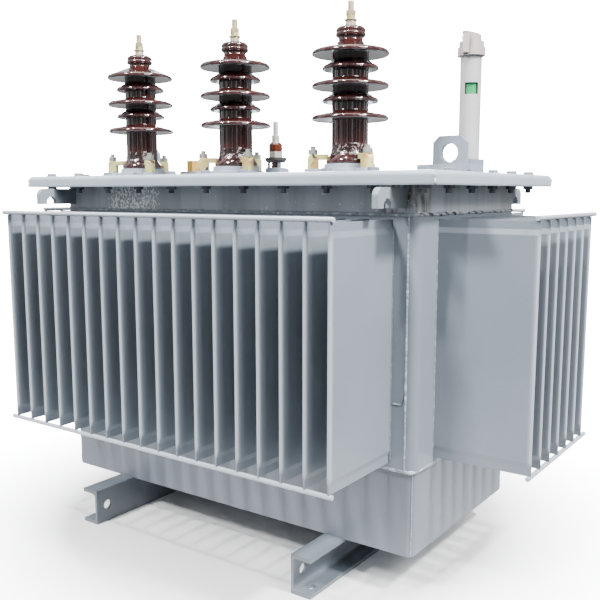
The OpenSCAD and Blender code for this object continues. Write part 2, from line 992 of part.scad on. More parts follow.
// Collar and shoulder on the tube, with a slanted filler hood and the hasp that holds it
module gauge_cap() {
  color("gainsboro")
    translate([gauge_x, gauge_y, collar_z])
      rotate([0, 0, gauge_turn]) {
        cylinder(r = collar_r, h = collar_h);
        cylinder(r = shoulder_ring_r, h = hood_z);
        intersection() {
          cylinder(r = hood_r, h = hood_z + hood_high);
          rotate([90, 0, 0])
            linear_extrude(2 * hood_r, center = true)
              polygon([[-hood_r, 0], [hood_r, 0], [hood_r, hood_z + hood_low],
                       [-hood_r, hood_z + hood_high]]);
        }
        translate([-hasp_x - hasp_w / 2, 0, 0])
          rotate([90, 0, 90])
            linear_extrude(hasp_w)
              hasp_outline();
      }
}

// Side view of the hasp: down over the collar, and back over the hood
module hasp_outline() {
  top = hood_z + hood_low;
  back = -hasp_y + hasp_t;
  polygon([[-hasp_y, hasp_lift], [-hasp_y, top], [0, top], [0, top - hasp_t], [back, top - hasp_t],
           [back, collar_h], [back + hasp_t, collar_h], [back + hasp_t, hasp_lift]]);
}

// Plug with a hexagon head on a round flange
module relief_plug() {
  color(zinc)
    translate([plug_x, 0, cover_z]) {
      cylinder(r = plug_flange_r, h = plug_flange_t);
      cylinder(d = plug_af / cos(30), h = plug_flange_t + plug_h, $fn = 6);
    }
}

base_channel_left();
base_channel_right();
tank_floor();
lower_front_wall();
lower_rear_wall();
lower_left_end();
lower_right_end();
front_fin_wall();
rear_fin_wall();
left_fin_end();
right_fin_end();
front_fin_rods();
rear_fin_rods();
left_fin_rods();
right_fin_rods();
tank_neck();
tank_flange();
cover();
front_left_hook();
front_right_hook();
rear_left_hook();
rear_right_hook();
lug_bases();
cover_lugs();
hv_base_1();
hv_base_2();
hv_base_3();
hv_porcelain_1();
hv_porcelain_2();
hv_porcelain_3();
hv_clamps_1();
hv_clamps_2();
hv_clamps_3();
hv_terminal_1();
hv_terminal_2();
hv_terminal_3();
neutral_porcelain();
neutral_ring();
neutral_base();
neutral_terminal();
gauge_flange();
gauge_tube();
gauge_window();
gauge_cap();
relief_plug();
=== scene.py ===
"""Looks of an oil-filled distribution transformer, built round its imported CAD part.

New pieces are surfaces worked out with numpy: turned profiles for the bolts, nuts and porcelains, and
weld beads carried along paths. Lengths of the part are millimetres in its own frame, and MM turns them
into metres.
"""

import json
import math

import bmesh
import bpy
import numpy as np
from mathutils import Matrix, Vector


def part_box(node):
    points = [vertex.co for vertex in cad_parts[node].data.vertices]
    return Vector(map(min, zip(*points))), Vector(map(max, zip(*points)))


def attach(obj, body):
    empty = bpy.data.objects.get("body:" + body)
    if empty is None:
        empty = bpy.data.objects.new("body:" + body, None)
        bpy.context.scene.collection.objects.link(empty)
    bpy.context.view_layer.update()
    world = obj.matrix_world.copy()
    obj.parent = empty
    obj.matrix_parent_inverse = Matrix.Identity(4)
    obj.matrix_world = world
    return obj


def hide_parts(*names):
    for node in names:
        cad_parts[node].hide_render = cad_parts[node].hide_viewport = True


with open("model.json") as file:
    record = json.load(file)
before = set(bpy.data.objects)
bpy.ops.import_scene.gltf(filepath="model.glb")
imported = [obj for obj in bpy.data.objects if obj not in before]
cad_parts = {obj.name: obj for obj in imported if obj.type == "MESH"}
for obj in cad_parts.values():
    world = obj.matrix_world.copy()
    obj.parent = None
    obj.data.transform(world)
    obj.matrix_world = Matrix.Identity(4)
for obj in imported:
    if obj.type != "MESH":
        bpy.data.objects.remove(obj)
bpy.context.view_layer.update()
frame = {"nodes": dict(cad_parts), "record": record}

MM = 0.001
rng = np.random.default_rng(7)


def corners(node):
    """Lowest and highest corner of a CAD node, in millimetres, rounded to a thousandth."""
    return [np.round(np.array(corner) / MM, 3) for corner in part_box(node)]


# Sizes of the part that new pieces seat on: outer faces from the part's middle, and heights from the ground
(_, _, NECK_Z), (TANK_X, TANK_Y, FLANGE_Z) = corners("tank_neck")
(_, _, RIM_Z), (COVER_X, COVER_Y, COVER_Z) = corners("cover")
(SEAM_X, _, WALL_Z), (END_TIP, _, _) = corners("right_fin_end")
(_, _, LOWER_Z), (LOWER_X, LOWER_Y, _) = corners("lower_right_end")
SIDE_TIP = corners("rear_fin_wall")[1][1]
BEND_R, COVER_T = 18.0, 6.0
# Fins: pitch, thickness and depth of the round tip
FIN_PITCH, FIN_T, TIP_DEPTH = 50.0, 8.0, 9.0
# Ends of the welds at the fins' roots, the stretch where the tips are round, and the last fins' outer faces
FIN_LOW, FIN_HIGH = WALL_Z + 14.0, NECK_Z - 11.0
ROUND_LOW, ROUND_HIGH = FIN_LOW + 20.0, FIN_HIGH - 22.0
LAST_FIN_X, LAST_END_FIN_Y = 8.5 * FIN_PITCH + FIN_T / 2, 3 * FIN_PITCH + FIN_T / 2
# High-voltage bushings: axes, foot and top of the porcelain, and its sanded band
HV_NUMBERS = (1, 2, 3)
HV_PLACES = [np.mean(corners(f"hv_terminal_{n}"), 0)[:2] for n in HV_NUMBERS]
HV_FOOT_Z, HV_TOP_Z = (corner[2] for corner in corners("hv_porcelain_1"))
SAND_LOW, SAND_HIGH = HV_FOOT_Z + 18.0, HV_FOOT_Z + 38.0
# Heights where a node's tone changes: the clamps' nuts, the stud's nuts, the bare stud and the plug
CLAMP_NUT_AND_BOLT = 15.8
CLAMP_NUT_Z = corners("hv_clamps_1")[1][2] - CLAMP_NUT_AND_BOLT
STUD_NUT_Z, BARE_STUD_Z, PLUG_Z = HV_TOP_Z + 8.0, HV_TOP_Z + 24.0, COVER_Z + 14.0
# Length of one stitch of the weld under the neck, and how much its gaps lean
STITCH, STITCH_LEAN = 33.0, 2.5
# Scratch on the neck's right end: its height at the middle plane, its slope and its width
SCRATCH_Z, SCRATCH_SLOPE, SCRATCH_W = 720.0, 0.22, 1.0


def linear(code, share=1.0):
    """Linear RGBA of an sRGB hex colour such as '8a939c', times share."""
    c = np.array([int(code[i:i + 2], 16) for i in (0, 2, 4)]) / 255.0
    c = np.where(c <= 0.04045, c / 12.92, ((c + 0.055) / 1.055) ** 2.4) * share
    return (*c.tolist(), 1.0)


def feed(tree, node, inputs):
    """Links a node's inputs that are given as sockets, and sets the others."""
    for key, value in inputs.items():
        if isinstance(value, bpy.types.NodeSocket):
            tree.links.new(value, node.inputs[key])
        else:
            node.inputs[key].default_value = value


def add(tree, kind, inputs=None, out=0, **settings):
    """Adds one shader node with its settings and inputs, and returns one of its output sockets."""
    node = tree.nodes.new("ShaderNode" + kind)
    for key, value in settings.items():
        setattr(node, key, value)
    feed(tree, node, inputs or {})
    return node.outputs[out]


# Sockets of a Mix node that blends colours: the mask, the colour under it, the one over it and the result
BY, UNDER, OVER, BLEND = 0, 6, 7, 2


def start_material(name):
    """A new material: returns it with its node tree, its principled shader and object coordinates."""
    mat = bpy.data.materials.new(name)
    mat.use_nodes = True
    tree = mat.node_tree
    return mat, tree, tree.nodes["Principled BSDF"], add(tree, "TexCoord", out="Object")


def band(tree, along, low, high, soft, unit=MM, within=None):
    """Mask of a strip: 1 where a coordinate lies between low and high, with soft borders.

    It is a rising ramp times a falling one, and times another mask where one is given. Lengths are
    millimetres unless another unit is given.
    """
    rise = add(tree, "MapRange", {"Value": along, "From Min": (low - soft) * unit,
                                  "From Max": (low + soft) * unit})
    fall = add(tree, "MapRange", {"Value": along, "From Min": (high - soft) * unit,
                                  "From Max": (high + soft) * unit, "To Min": 1.0, "To Max": 0.0})
    mask = add(tree, "Math", {0: rise, 1: fall}, operation="MULTIPLY")
    if within is None:
        return mask
    return add(tree, "Math", {0: mask, 1: within}, operation="MULTIPLY")


def blotches(tree, place, size, low, high, top=1.0, detail=3.0, rough=0.5, stretch=(1, 1, 1), within=None):
    """Mask of irregular blotches about size millimetres across.

    A noise with waves of that length gives a mask that rises from 0 at its level low to top at its level
    high. stretch draws the blotches out along an axis where it is below 1, and within is a mask that they
    keep to.
    """
    where = add(tree, "Mapping", {"Vector": place, "Scale": stretch})
    level = add(tree, "TexNoise", {"Vector": where, "Scale": 1 / (size * MM), "Detail": detail,
                                   "Roughness": rough})
    mask = add(tree, "MapRange", {"Value": level, "From Min": low, "From Max": high, "To Max": top})
    if within is None:
        return mask
    return add(tree, "Math", {0: mask, 1: within}, operation="MULTIPLY")


def grime(tree, place, colour):
    """Marks on the neck: smears, a soiled front right corner, white splashes, pale drops and one scratch.

    The smears are blotches drawn out downwards. The corner is a strip of the length times one of the
    depth, with dark spots and pale chips. The splashes are a fine noise that passes its level only in a
    strip left of the middle of the front, and the drops a coarser one cut off high. The scratch is a thin
    slanting strip of the right end that blotches break up.
    """
    x, y, z = add(tree, "SeparateXYZ", {"Vector": place}).node.outputs
    front = band(tree, y, -TANK_Y - 10, -TANK_Y + 10, 4)
    corner = band(tree, y, -TANK_Y - 30, -TANK_Y + 40, 20)
    corner = band(tree, x, TANK_X - 80, TANK_X + 20, 20, within=corner)
    left = band(tree, x, -350, -140, 40, within=front)
    fine = add(tree, "Mapping", {"Vector": place, "Scale": (1, 1, 0.7)})
    level = add(tree, "TexNoise", {"Vector": fine, "Scale": 1 / (4.76 * MM), "Detail": 3.0,
                                   "Roughness": 0.6})
    level = add(tree, "Math", {0: level, 1: left}, operation="MULTIPLY")
    splashes = add(tree, "MapRange", {"Value": level, "From Min": 0.49, "From Max": 0.54})
    slant = add(tree, "Math", {0: y, 1: SCRATCH_SLOPE, 2: z}, operation="MULTIPLY_ADD")
    end = add(tree, "MapRange", {"Value": x, "From Min": (TANK_X - 10) * MM, "From Max": (TANK_X - 5) * MM})
    scratch = band(tree, y, -180, -110, 10, within=end)
    scratch = band(tree, slant, SCRATCH_Z, SCRATCH_Z + SCRATCH_W, 0.4, within=scratch)
    scratch = blotches(tree, place, 11.1, low=0.40, high=0.55, within=scratch)
    smears = blotches(tree, place, 41.7, low=0.42, high=0.68, top=0.35, detail=4.0, stretch=(1, 1, 0.10))
    spots = blotches(tree, place, 16.7, low=0.45, high=0.60, detail=4.0, stretch=(1, 1, 0.25),
                     within=corner)
    chips = blotches(tree, place, 7.7, low=0.61, high=0.64, detail=5.0, rough=0.7, stretch=(1, 1, 0.5),
                     within=corner)
    drops = blotches(tree, place, 9.1, low=0.70, high=0.73, detail=2.0, within=front)
    for mask, code in ((smears, "5c5950"), (spots, "4f493d"), (chips, "a9a79f"), (splashes, "ffffff"),
                       (drops, "e4e7ea"), (scratch, "aeb3b8")):
        colour = add(tree, "Mix", {BY: mask, UNDER: colour, OVER: linear(code)}, BLEND, data_type="RGBA")
    return colour


def stitches(tree, place, colour):
    """Dark gaps between the stitches of the weld along the tank's ends: a sine of the way along the end."""
    x, y, z = add(tree, "SeparateXYZ", {"Vector": place}).node.outputs
    away = add(tree, "Math", {0: x}, operation="ABSOLUTE")
    ends = add(tree, "MapRange", {"Value": away, "From Min": (TANK_X - 4) * MM, "From Max": TANK_X * MM})
    lean = add(tree, "Math", {0: z, 1: STITCH_LEAN, 2: y}, operation="MULTIPLY_ADD")
    turn = add(tree, "Math", {0: lean, 1: 2 * math.pi / (STITCH * MM)}, operation="MULTIPLY")
    wave = add(tree, "Math", {0: turn}, operation="SINE")
    gaps = add(tree, "MapRange", {"Value": wave, "From Min": 0.1, "From Max": 0.4})
    mask = add(tree, "Math", {0: ends, 1: gaps}, operation="MULTIPLY")
    return add(tree, "Mix", {BY: mask, UNDER: colour, OVER: linear("2b2325")}, BLEND, data_type="RGBA")


def tip_highlights(tree, place, colour):
    """Painted highlight: a lighter tone on the round tips of the fins, between the parts that are pressed
    flat.

    The mask is the distance from the tank's two middle planes times a strip of the height.
    """
    x, y, z = add(tree, "SeparateXYZ", {"Vector": place}).node.outputs
    round_part = band(tree, z, ROUND_LOW, ROUND_HIGH, 8)
    for axis, tip in ((x, END_TIP), (y, SIDE_TIP)):
        away = add(tree, "Math", {0: axis}, operation="ABSOLUTE")
        edge = add(tree, "MapRange", {"Value": away, "From Min": (tip - TIP_DEPTH) * MM,
                                      "From Max": (tip - 1) * MM})
        mask = add(tree, "Math", {0: round_part, 1: edge}, operation="MULTIPLY")
        colour = add(tree, "Mix", {BY: mask, UNDER: colour, OVER: linear("969ea6")}, BLEND,
                     data_type="RGBA")
    return colour


def painted_steel(name, code, edge=1.2, marks=None, rough=0.34, knob_highlight=0.0):
    """Satin grey enamel sprayed on welded steel, with edges that look rounded by edge millimetres.

    Clouds as wide as a pass of the spray gun shift the tone and the gloss by a few percent, and dust in
    the coat makes faint specks. A broad bump makes the plate slightly wavy, a fine one gives the orange
    peel, and the edges catch the light. marks lays more over the colour: grime on the neck, dark gaps on a
    weld, painted highlights on the fins' tips. knob_highlight is the share of a painted highlight, pale
    enamel, that is laid on the knobs of a weld bead where its lumps catch the light.
    """
    mat, tree, bsdf, place = start_material(name)
    cloud = add(tree, "TexNoise", {"Vector": place, "Scale": 1 / (200 * MM), "Detail": 4.0})
    tone = add(tree, "MapRange", {"Value": cloud, "From Min": 0.35, "From Max": 0.7})
    colour = add(tree, "Mix", {BY: tone, UNDER: linear(code, 0.90), OVER: linear(code)}, BLEND,
                 data_type="RGBA")
    # Real dust is finer than a millimetre: it is drawn at 7 mm, so that it shows
    dust = blotches(tree, place, 7.14, low=0.62, high=0.75, top=0.10, detail=2.0)
    colour = add(tree, "Mix", {BY: dust, UNDER: colour, OVER: linear("3f454b")}, BLEND, data_type="RGBA")
    if marks:
        colour = marks(tree, place, colour)
    normal = add(tree, "Bevel", {"Radius": edge * MM}, samples=4)
    waves = add(tree, "TexNoise", {"Vector": place, "Scale": 1 / (143 * MM), "Detail": 1.0})
    normal = add(tree, "Bump", {"Height": waves, "Distance": 1.2 * MM, "Normal": normal})
    # Painted highlight: pale enamel on the knobs, where the lumps of a weld bead catch the light
    if knob_highlight:
        knobs = add(tree, "TexNoise", {"Vector": place, "Scale": 1 / (11.1 * MM), "Detail": 3.0})
        bright = add(tree, "MapRange", {"Value": knobs, "From Min": 0.50, "From Max": 0.62,
                                        "To Max": knob_highlight})
        colour = add(tree, "Mix", {BY: bright, UNDER: colour, OVER: linear("b4bbc2")}, BLEND,
                     data_type="RGBA")
        normal = add(tree, "Bump", {"Height": knobs, "Distance": 1.0 * MM, "Normal": normal})
    peel = add(tree, "TexNoise", {"Vector": place, "Scale": 1 / (2.38 * MM), "Detail": 1.0})
    normal = add(tree, "Bump", {"Height": peel, "Distance": 0.06 * MM, "Normal": normal})
    gloss = add(tree, "MapRange", {"Value": cloud, "From Min": 0.3, "From Max": 0.7,
                                   "To Min": rough - 0.06, "To Max": rough + 0.06})
    feed(tree, bsdf, {"Base Color": colour, "Roughness": gloss, "Normal": normal, "IOR": 1.5})
    return mat


def glazed_porcelain(name, thick, thin):
    """Brown glaze on electrical porcelain.

    A noise mixes the tones of thick and thin glaze. Low roughness with a clear coat gives sharp
    highlights, and a long shallow bump makes them swim as on hand-dipped ware. The sanded band above the
    foot is rough and speckled: dark, with pale specks that are partly grit and partly painted highlights
    on its bumps.
    """
    mat, tree, bsdf, place = start_material(name)
    height = add(tree, "SeparateXYZ", {"Vector": place}, "Z")
    pooled = blotches(tree, place, 33.3, low=0.3, high=0.7)
    colour = add(tree, "Mix", {BY: pooled, UNDER: linear(thick), OVER: linear(thin)}, BLEND,
                 data_type="RGBA")
    sand = band(tree, height, SAND_LOW, SAND_HIGH, 2)
    colour = add(tree, "Mix", {BY: sand, UNDER: colour, OVER: linear("1a0d0d")}, BLEND, data_type="RGBA")
    # Real grit is about 1 mm: it is drawn at 6 mm, so that it shows
    grit = add(tree, "TexNoise", {"Vector": place, "Scale": 1 / (5.88 * MM), "Detail": 3.0})
    # Pale specks: grit, and painted highlights where the rough band catches the light
    grit_and_glints = add(tree, "MapRange", {"Value": grit, "From Min": 0.57, "From Max": 0.64})
    grit_and_glints = add(tree, "Math", {0: sand, 1: grit_and_glints}, operation="MULTIPLY")
    colour = add(tree, "Mix", {BY: grit_and_glints, UNDER: colour, OVER: linear("8f7573")}, BLEND, data_type="RGBA")
    dips = add(tree, "TexNoise", {"Vector": place, "Scale": 1 / (22.2 * MM), "Detail": 2.0})
    normal = add(tree, "Bump", {"Height": dips, "Distance": 0.7 * MM})
    coarse = add(tree, "Math", {0: sand, 1: grit}, operation="MULTIPLY")
    normal = add(tree, "Bump", {"Height": coarse, "Distance": 1.5 * MM, "Normal": normal})
    feed(tree, bsdf, {"Base Color": colour, "Normal": normal, "Roughness": 0.12, "IOR": 1.52,
                      "Coat Weight": 0.6, "Coat Roughness": 0.04})
    return mat


def plated_metal(name, code, dark, metallic, roughness, grain):
    """Plated bolt steel or copper.

    A noise with waves of grain millimetres mixes a duller tone into the plating and varies its gloss, and
    one four times finer roughens it, so that the metal looks handled and not polished.
    """
    mat, tree, bsdf, place = start_material(name)
    spots = add(tree, "TexNoise", {"Vector": place, "Scale": 1 / (grain * MM), "Detail": 4.0})
    dull = add(tree, "MapRange", {"Value": spots, "From Min": 0.45, "From Max": 0.75})
    colour = add(tree, "Mix", {BY: dull, UNDER: linear(code), OVER: linear(dark)}, BLEND, data_type="RGBA")
    gloss = add(tree, "MapRange", {"Value": spots, "From Min": 0.3, "From Max": 0.7,
                                   "To Min": roughness - 0.08, "To Max": roughness + 0.08})
    rounded = add(tree, "Bevel", {"Radius": 0.8 * MM}, samples=4)
    fine = add(tree, "TexNoise", {"Vector": place, "Scale": 4 / (grain * MM), "Detail": 2.0})
    normal = add(tree, "Bump", {"Height": fine, "Distance": 0.15 * MM, "Normal": rounded})
    feed(tree, bsdf, {"Base Color": colour, "Roughness": gloss, "Normal": normal, "Metallic": metallic})
    return mat


def passivated_zinc(name):
    """Yellow passivated zinc on small castings.

    Blotches mix cream, tan and a greenish tint, the colours that the thin passive film takes, and others
    leave dark spots, partly greasy and partly painted shade standing in for the nuts' shadows. The metal
    shines only dully. The nuts on top are plain grey zinc.
    """
    mat, tree, bsdf, place = start_material(name)
    height = add(tree, "SeparateXYZ", {"Vector": place}, "Z")
    nuts = add(tree, "MapRange", {"Value": height, "From Min": CLAMP_NUT_Z * MM,
                                  "From Max": (CLAMP_NUT_Z + 0.5) * MM})
    tan = blotches(tree, place, 35.7, low=0.48, high=0.60, detail=2.0)
    greenish = blotches(tree, place, 22.2, low=0.55, high=0.68, detail=2.0)
    # Dark spots: partly greasy, partly painted shade of the nuts
    grease_and_shade = blotches(tree, place, 14.3, low=0.62, high=0.66)
    colour = linear("c6bd78")
    for mask, code in ((tan, "b08c58"), (greenish, "a9b592"), (nuts, "8a8d84"), (grease_and_shade, "3a322b")):
        colour = add(tree, "Mix", {BY: mask, UNDER: colour, OVER: linear(code)}, BLEND, data_type="RGBA")
    rounded = add(tree, "Bevel", {"Radius": 1.5 * MM}, samples=4)
    skin = add(tree, "TexNoise", {"Vector": place, "Scale": 1 / (4.17 * MM), "Detail": 2.0})
    normal = add(tree, "Bump", {"Height": skin, "Distance": 0.2 * MM, "Normal": rounded})
    feed(tree, bsdf, {"Base Color": colour, "Normal": normal, "Metallic": 0.25, "Roughness": 0.42})
    return mat


def stacked_metal(name, foot, layers, metallic, roughness):
    """Turned metal pieces stacked in one node, each with its own tone, under upright streaks of tarnish.

    foot is the tone of the lowest piece, and layers lists the others with the height where each begins.
    """
    mat, tree, bsdf, place = start_material(name)
    height = add(tree, "SeparateXYZ", {"Vector": place}, "Z")
    colour = linear(foot)
    for code, start in layers:
        over = add(tree, "MapRange", {"Value": height, "From Min": (start - 0.3) * MM,
                                      "From Max": (start + 0.3) * MM})
        colour = add(tree, "Mix", {BY: over, UNDER: colour, OVER: linear(code)}, BLEND, data_type="RGBA")
    tarnish = blotches(tree, place, 4.55, low=0.50, high=0.66, top=0.5, stretch=(1, 1, 0.2))
    colour = add(tree, "Mix", {BY: tarnish, UNDER: colour, OVER: linear("6a5a3c")}, BLEND, data_type="RGBA")
    rounded = add(tree, "Bevel", {"Radius": 0.6 * MM}, samples=4)
    feed(tree, bsdf, {"Base Color": colour, "Normal": rounded, "Metallic": metallic,
                      "Roughness": roughness})
    return mat


def moulded_plastic(name, code, roughness):
    """Moulded plastic or rubber of one colour.

    A noise dulls it faintly, as handling does, and brown painted shade darkens it where corners shut out
    the light.
    """
    mat, tree, bsdf, place = start_material(name)
    worn = add(tree, "TexNoise", {"Vector": place, "Scale": 1 / (50 * MM), "Detail": 3.0})
    colour = add(tree, "Mix", {BY: worn, UNDER: linear(code, 0.93), OVER: linear(code)}, BLEND,
                 data_type="RGBA")
    # Painted shade: brown laid where ambient occlusion finds corners and crevices
    shut = add(tree, "AmbientOcclusion", {"Distance": 6 * MM}, "AO", samples=8)
    crevice_shade = add(tree, "MapRange", {"Value": shut, "From Min": 0.75, "From Max": 0.35, "To Max": 0.8})
    colour = add(tree, "Mix", {BY: crevice_shade, UNDER: colour, OVER: linear("4a403a")}, BLEND, data_type="RGBA")
    rounded = add(tree, "Bevel", {"Radius": 0.8 * MM}, samples=4)
    feed(tree, bsdf, {"Base Color": colour, "Normal": rounded, "Roughness": roughness, "IOR": 1.49})
    return mat


# Finishes of the part's slots
MATERIALS = {
    "tank_paint": painted_steel("grey enamel on steel plate", "727a83"),
    "channel_paint": painted_steel("grey enamel on rolled steel", "585f66", 2.0),
    "brown_porcelain": glazed_porcelain("red-brown glazed porcelain", "24100f", "381a18"),
    "zinc_clamp": passivated_zinc("yellow passivated zinc casting"),
    "rubber_ring": moulded_plastic("black rubber", "2a2523", 0.6),
    "gauge_plastic": moulded_plastic("pale grey plastic", "a9a9a8", 0.38),
    "gauge_glass": moulded_plastic("green sight glass", "00854c", 0.50),
}
# Finishes of the bolts and welds
STEEL = plated_metal("zinc plated bolt steel", "6a7075", "3f4448", 0.4, 0.45, 11.1)
# Weld beads carry painted highlights on their knobs
WELD = painted_steel("grey enamel on weld bead", "7a828b", knob_highlight=0.5)
STITCH_WELD = painted_steel("grey enamel on stitched weld", "8a929a", marks=stitches, knob_highlight=0.6)
# The cover's corner welds are painted pale: a painted highlight of the round corner
CORNER_HIGHLIGHT_WELD = painted_steel("grey enamel on ground weld", "a9b0b7", 2.0)
# Finishes that several nodes share in place of their slot's
BASE_PAINT = painted_steel("pale grey enamel on cast base", "98a1ac", 2.0, rough=0.26)
# The fins' finish lays a painted highlight on their round tips
FIN_PAINT = painted_steel("grey enamel on pressed sheet with painted tip highlights", "727a83", marks=tip_highlights)
# The lower walls are painted darker than the tank: painted shade, where the fins above keep the light off
# them
LOWER_SHADE_PAINT = painted_steel("darkened grey enamel on lower plate as painted shade", "636a73")
LUG_PAINT = painted_steel("grey enamel on cut plate", "808891")
# The round bars are painted lighter than the tank: a painted highlight, as their tops catch the light from
# above
ROD_HIGHLIGHT_PAINT = painted_steel("lightened grey enamel on round bar as painted highlight", "a3abb3", rough=0.26)
STUD = stacked_metal("brass nuts on a copper stud", "c8bfa6",
                     (("ada076", STUD_NUT_Z), ("b59e86", BARE_STUD_Z)), 0.45, 0.36)
# Finish of each node that differs from the rest of its slot
OWN_FINISH = {
    # The neck is painted much lighter than the tank: painted light that lifts it out of the shade under the
    # cover's overhang. Its grime marks are the neck's own soiling.
    "tank_neck": painted_steel("soiled grey enamel on steel plate", "b8bfc6", marks=grime),
    # The cover is painted lighter than the tank: painted light, as it catches the light from above
    "cover": painted_steel("lightened grey enamel on folded plate as painted light", "9da8b3", 7.0, rough=0.24),
    "relief_plug": stacked_metal("yellow brass plug", "8d939b", (("c9a24e", PLUG_Z),), 0.3, 0.4),
    "gauge_cap": moulded_plastic("aged grey plastic", "a39a96", 0.35),
    "neutral_porcelain": glazed_porcelain("orange-brown glazed porcelain", "3f1709", "5c2610"),
    "neutral_terminal": plated_metal("tinned copper stud", "d2cbc4", "a89e94", 0.5, 0.3, 8.33),
    "cover_lugs": LUG_PAINT,
    "lug_bases": LUG_PAINT,
}
for number in HV_NUMBERS:
    OWN_FINISH[f"hv_base_{number}"] = BASE_PAINT
    OWN_FINISH[f"hv_terminal_{number}"] = STUD
for face in ("front", "rear"):
    OWN_FINISH[f"{face}_fin_wall"] = FIN_PAINT
    OWN_FINISH[f"lower_{face}_wall"] = LOWER_SHADE_PAINT
    OWN_FINISH[f"{face}_fin_rods"] = ROD_HIGHLIGHT_PAINT
    for side in ("left", "right"):
        OWN_FINISH[f"{face}_{side}_hook"] = LUG_PAINT
for side in ("left", "right"):
    OWN_FINISH[f"{side}_fin_end"] = FIN_PAINT
    OWN_FINISH[f"lower_{side}_end"] = LOWER_SHADE_PAINT
    OWN_FINISH[f"{side}_fin_rods"] = ROD_HIGHLIGHT_PAINT
for piece in frame["record"]["subparts"]:
    node = frame["nodes"][piece["node"]]
    node.data.materials.clear()
    node.data.materials.append(OWN_FINISH.get(piece["node"]) or MATERIALS[piece["material_slot"]])


def grid_mesh(name, points, material, sharp=35.0):
    """One object from points of shape (copies, rows, columns, 3) in millimetres.

    Each copy is a grid with a quad between neighbours, and its last column joins the first. Points that
    meet, as at a pole or where a ring closes, become one, and the faces then point outwards. Edges
    sharper than the angle stay sharp. The piece rides on the part's one body.
    """
    copies, rows, columns, _ = points.shape
    k, i, j = np.meshgrid(np.arange(copies), np.arange(rows - 1), np.arange(columns), indexing="ij")
    a = (k * rows + i) * columns + j
    b = (k * rows + i) * columns + (j + 1) % columns
    quads = np.stack([a, b, b + columns, a + columns], -1).reshape(-1)
    mesh = bpy.data.meshes.new(name)
    mesh.vertices.add(copies * rows * columns)
    mesh.vertices.foreach_set("co", (points * MM).reshape(-1).astype(np.float32))
    mesh.loops.add(quads.size)
    mesh.loops.foreach_set("vertex_index", quads.astype(np.int32))
    mesh.polygons.add(quads.size // 4)
    mesh.polygons.foreach_set("loop_start", np.arange(0, quads.size, 4, dtype=np.int32))
    mesh.update(calc_edges=True)
    shell = bmesh.new()
    shell.from_mesh(mesh)
    bmesh.ops.remove_doubles(shell, verts=shell.verts, dist=1e-6)
    bmesh.ops.recalc_face_normals(shell, faces=shell.faces)
    shell.to_mesh(mesh)
    shell.free()
    mesh.polygons.foreach_set("use_smooth", np.ones(len(mesh.polygons), dtype=bool))
    mesh.set_sharp_from_angle(angle=math.radians(sharp))
    mesh.materials.append(material)
    obj = bpy.data.objects.new(name, mesh)
    bpy.context.collection.objects.link(obj)
    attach(obj, "root")
    return obj


def turned(name, places, profile, material, sides=48, turns=None, sharp=35.0):
    """Turned or hexagonal pieces at several places, as radius over angle and height.

    The profile's rows are radius, height and hexness. At hexness 1 the radius is half the width across
    the flats and grows to the corners as one over the cosine of the angle from the nearest flat; at 0 the
    row is round.
    """
    places = np.asarray(places, float)
    rows = np.asarray(profile, float)
    theta = np.linspace(0.0, 2 * np.pi, sides, endpoint=False)
    corner = 1.0 / np.cos((theta % (np.pi / 3)) - np.pi / 6) - 1.0
    radius = rows[:, 0:1] * (1.0 + rows[:, 2:3] * corner)
    turns = np.zeros(len(places)) if turns is None else np.asarray(turns)
    angle = theta[None, None, :] + turns[:, None, None]
    points = np.empty((len(places), len(rows), sides, 3))
    points[..., 0] = places[:, None, None, 0] + radius * np.cos(angle)
    points[..., 1] = places[:, None, None, 1] + radius * np.sin(angle)
    points[..., 2] = places[:, None, None, 2] + rows[:, 1][None, :, None]
    return grid_mesh(name, points, material, sharp)


def smooth_line(points, cuts):
    """Rounds a polyline by cutting its corners at a quarter and three quarters of each side, cuts times."""
    line = np.asarray(points, float)
    for _ in range(cuts):
        near = 0.75 * line[:-1] + 0.25 * line[1:]
        far = 0.25 * line[:-1] + 0.75 * line[1:]
        line = np.concatenate([line[:1], np.stack([near, far], 1).reshape(-1, line.shape[1]), line[-1:]])
    return line


# Cover bolts: a row along each side of the rim, heads and washers on the cover, nuts under the flange
BOLT_PITCH, END_BOLTS, WASHER_R, BOLT_R = 100.0, 4, 12.0, 6.0
# Half the width of a head and a nut across the flats, and heights from the face that each sits on
HEAD_R, HEAD_FOOT, HEAD_TOP = 9.2, 1.8, 7.2
NUT_R, NUT_FOOT, NUT_END, BOLT_END = 9.5, -2.5, -13.2, -21.3
# Distance of the rows from the cover's edges
END_INSET, SIDE_INSET = 39.0, 38.0
BOLT_X, BOLT_Y = COVER_X - END_INSET, COVER_Y - SIDE_INSET
side_x = np.arange(-BOLT_X, BOLT_X + 1, BOLT_PITCH)
end_y = np.linspace(-BOLT_Y, BOLT_Y, END_BOLTS + 2)[1:-1]
bolt_xy = np.array([(x, s * BOLT_Y) for x in side_x for s in (-1, 1)]
                   + [(s * BOLT_X, y) for y in end_y for s in (-1, 1)])
bolt_turns = rng.uniform(0, np.pi / 3, len(bolt_xy))


def at_height(xy, z):
    """Places of the given XY points at one height."""
    return np.column_stack([xy, np.full(len(xy), z)])


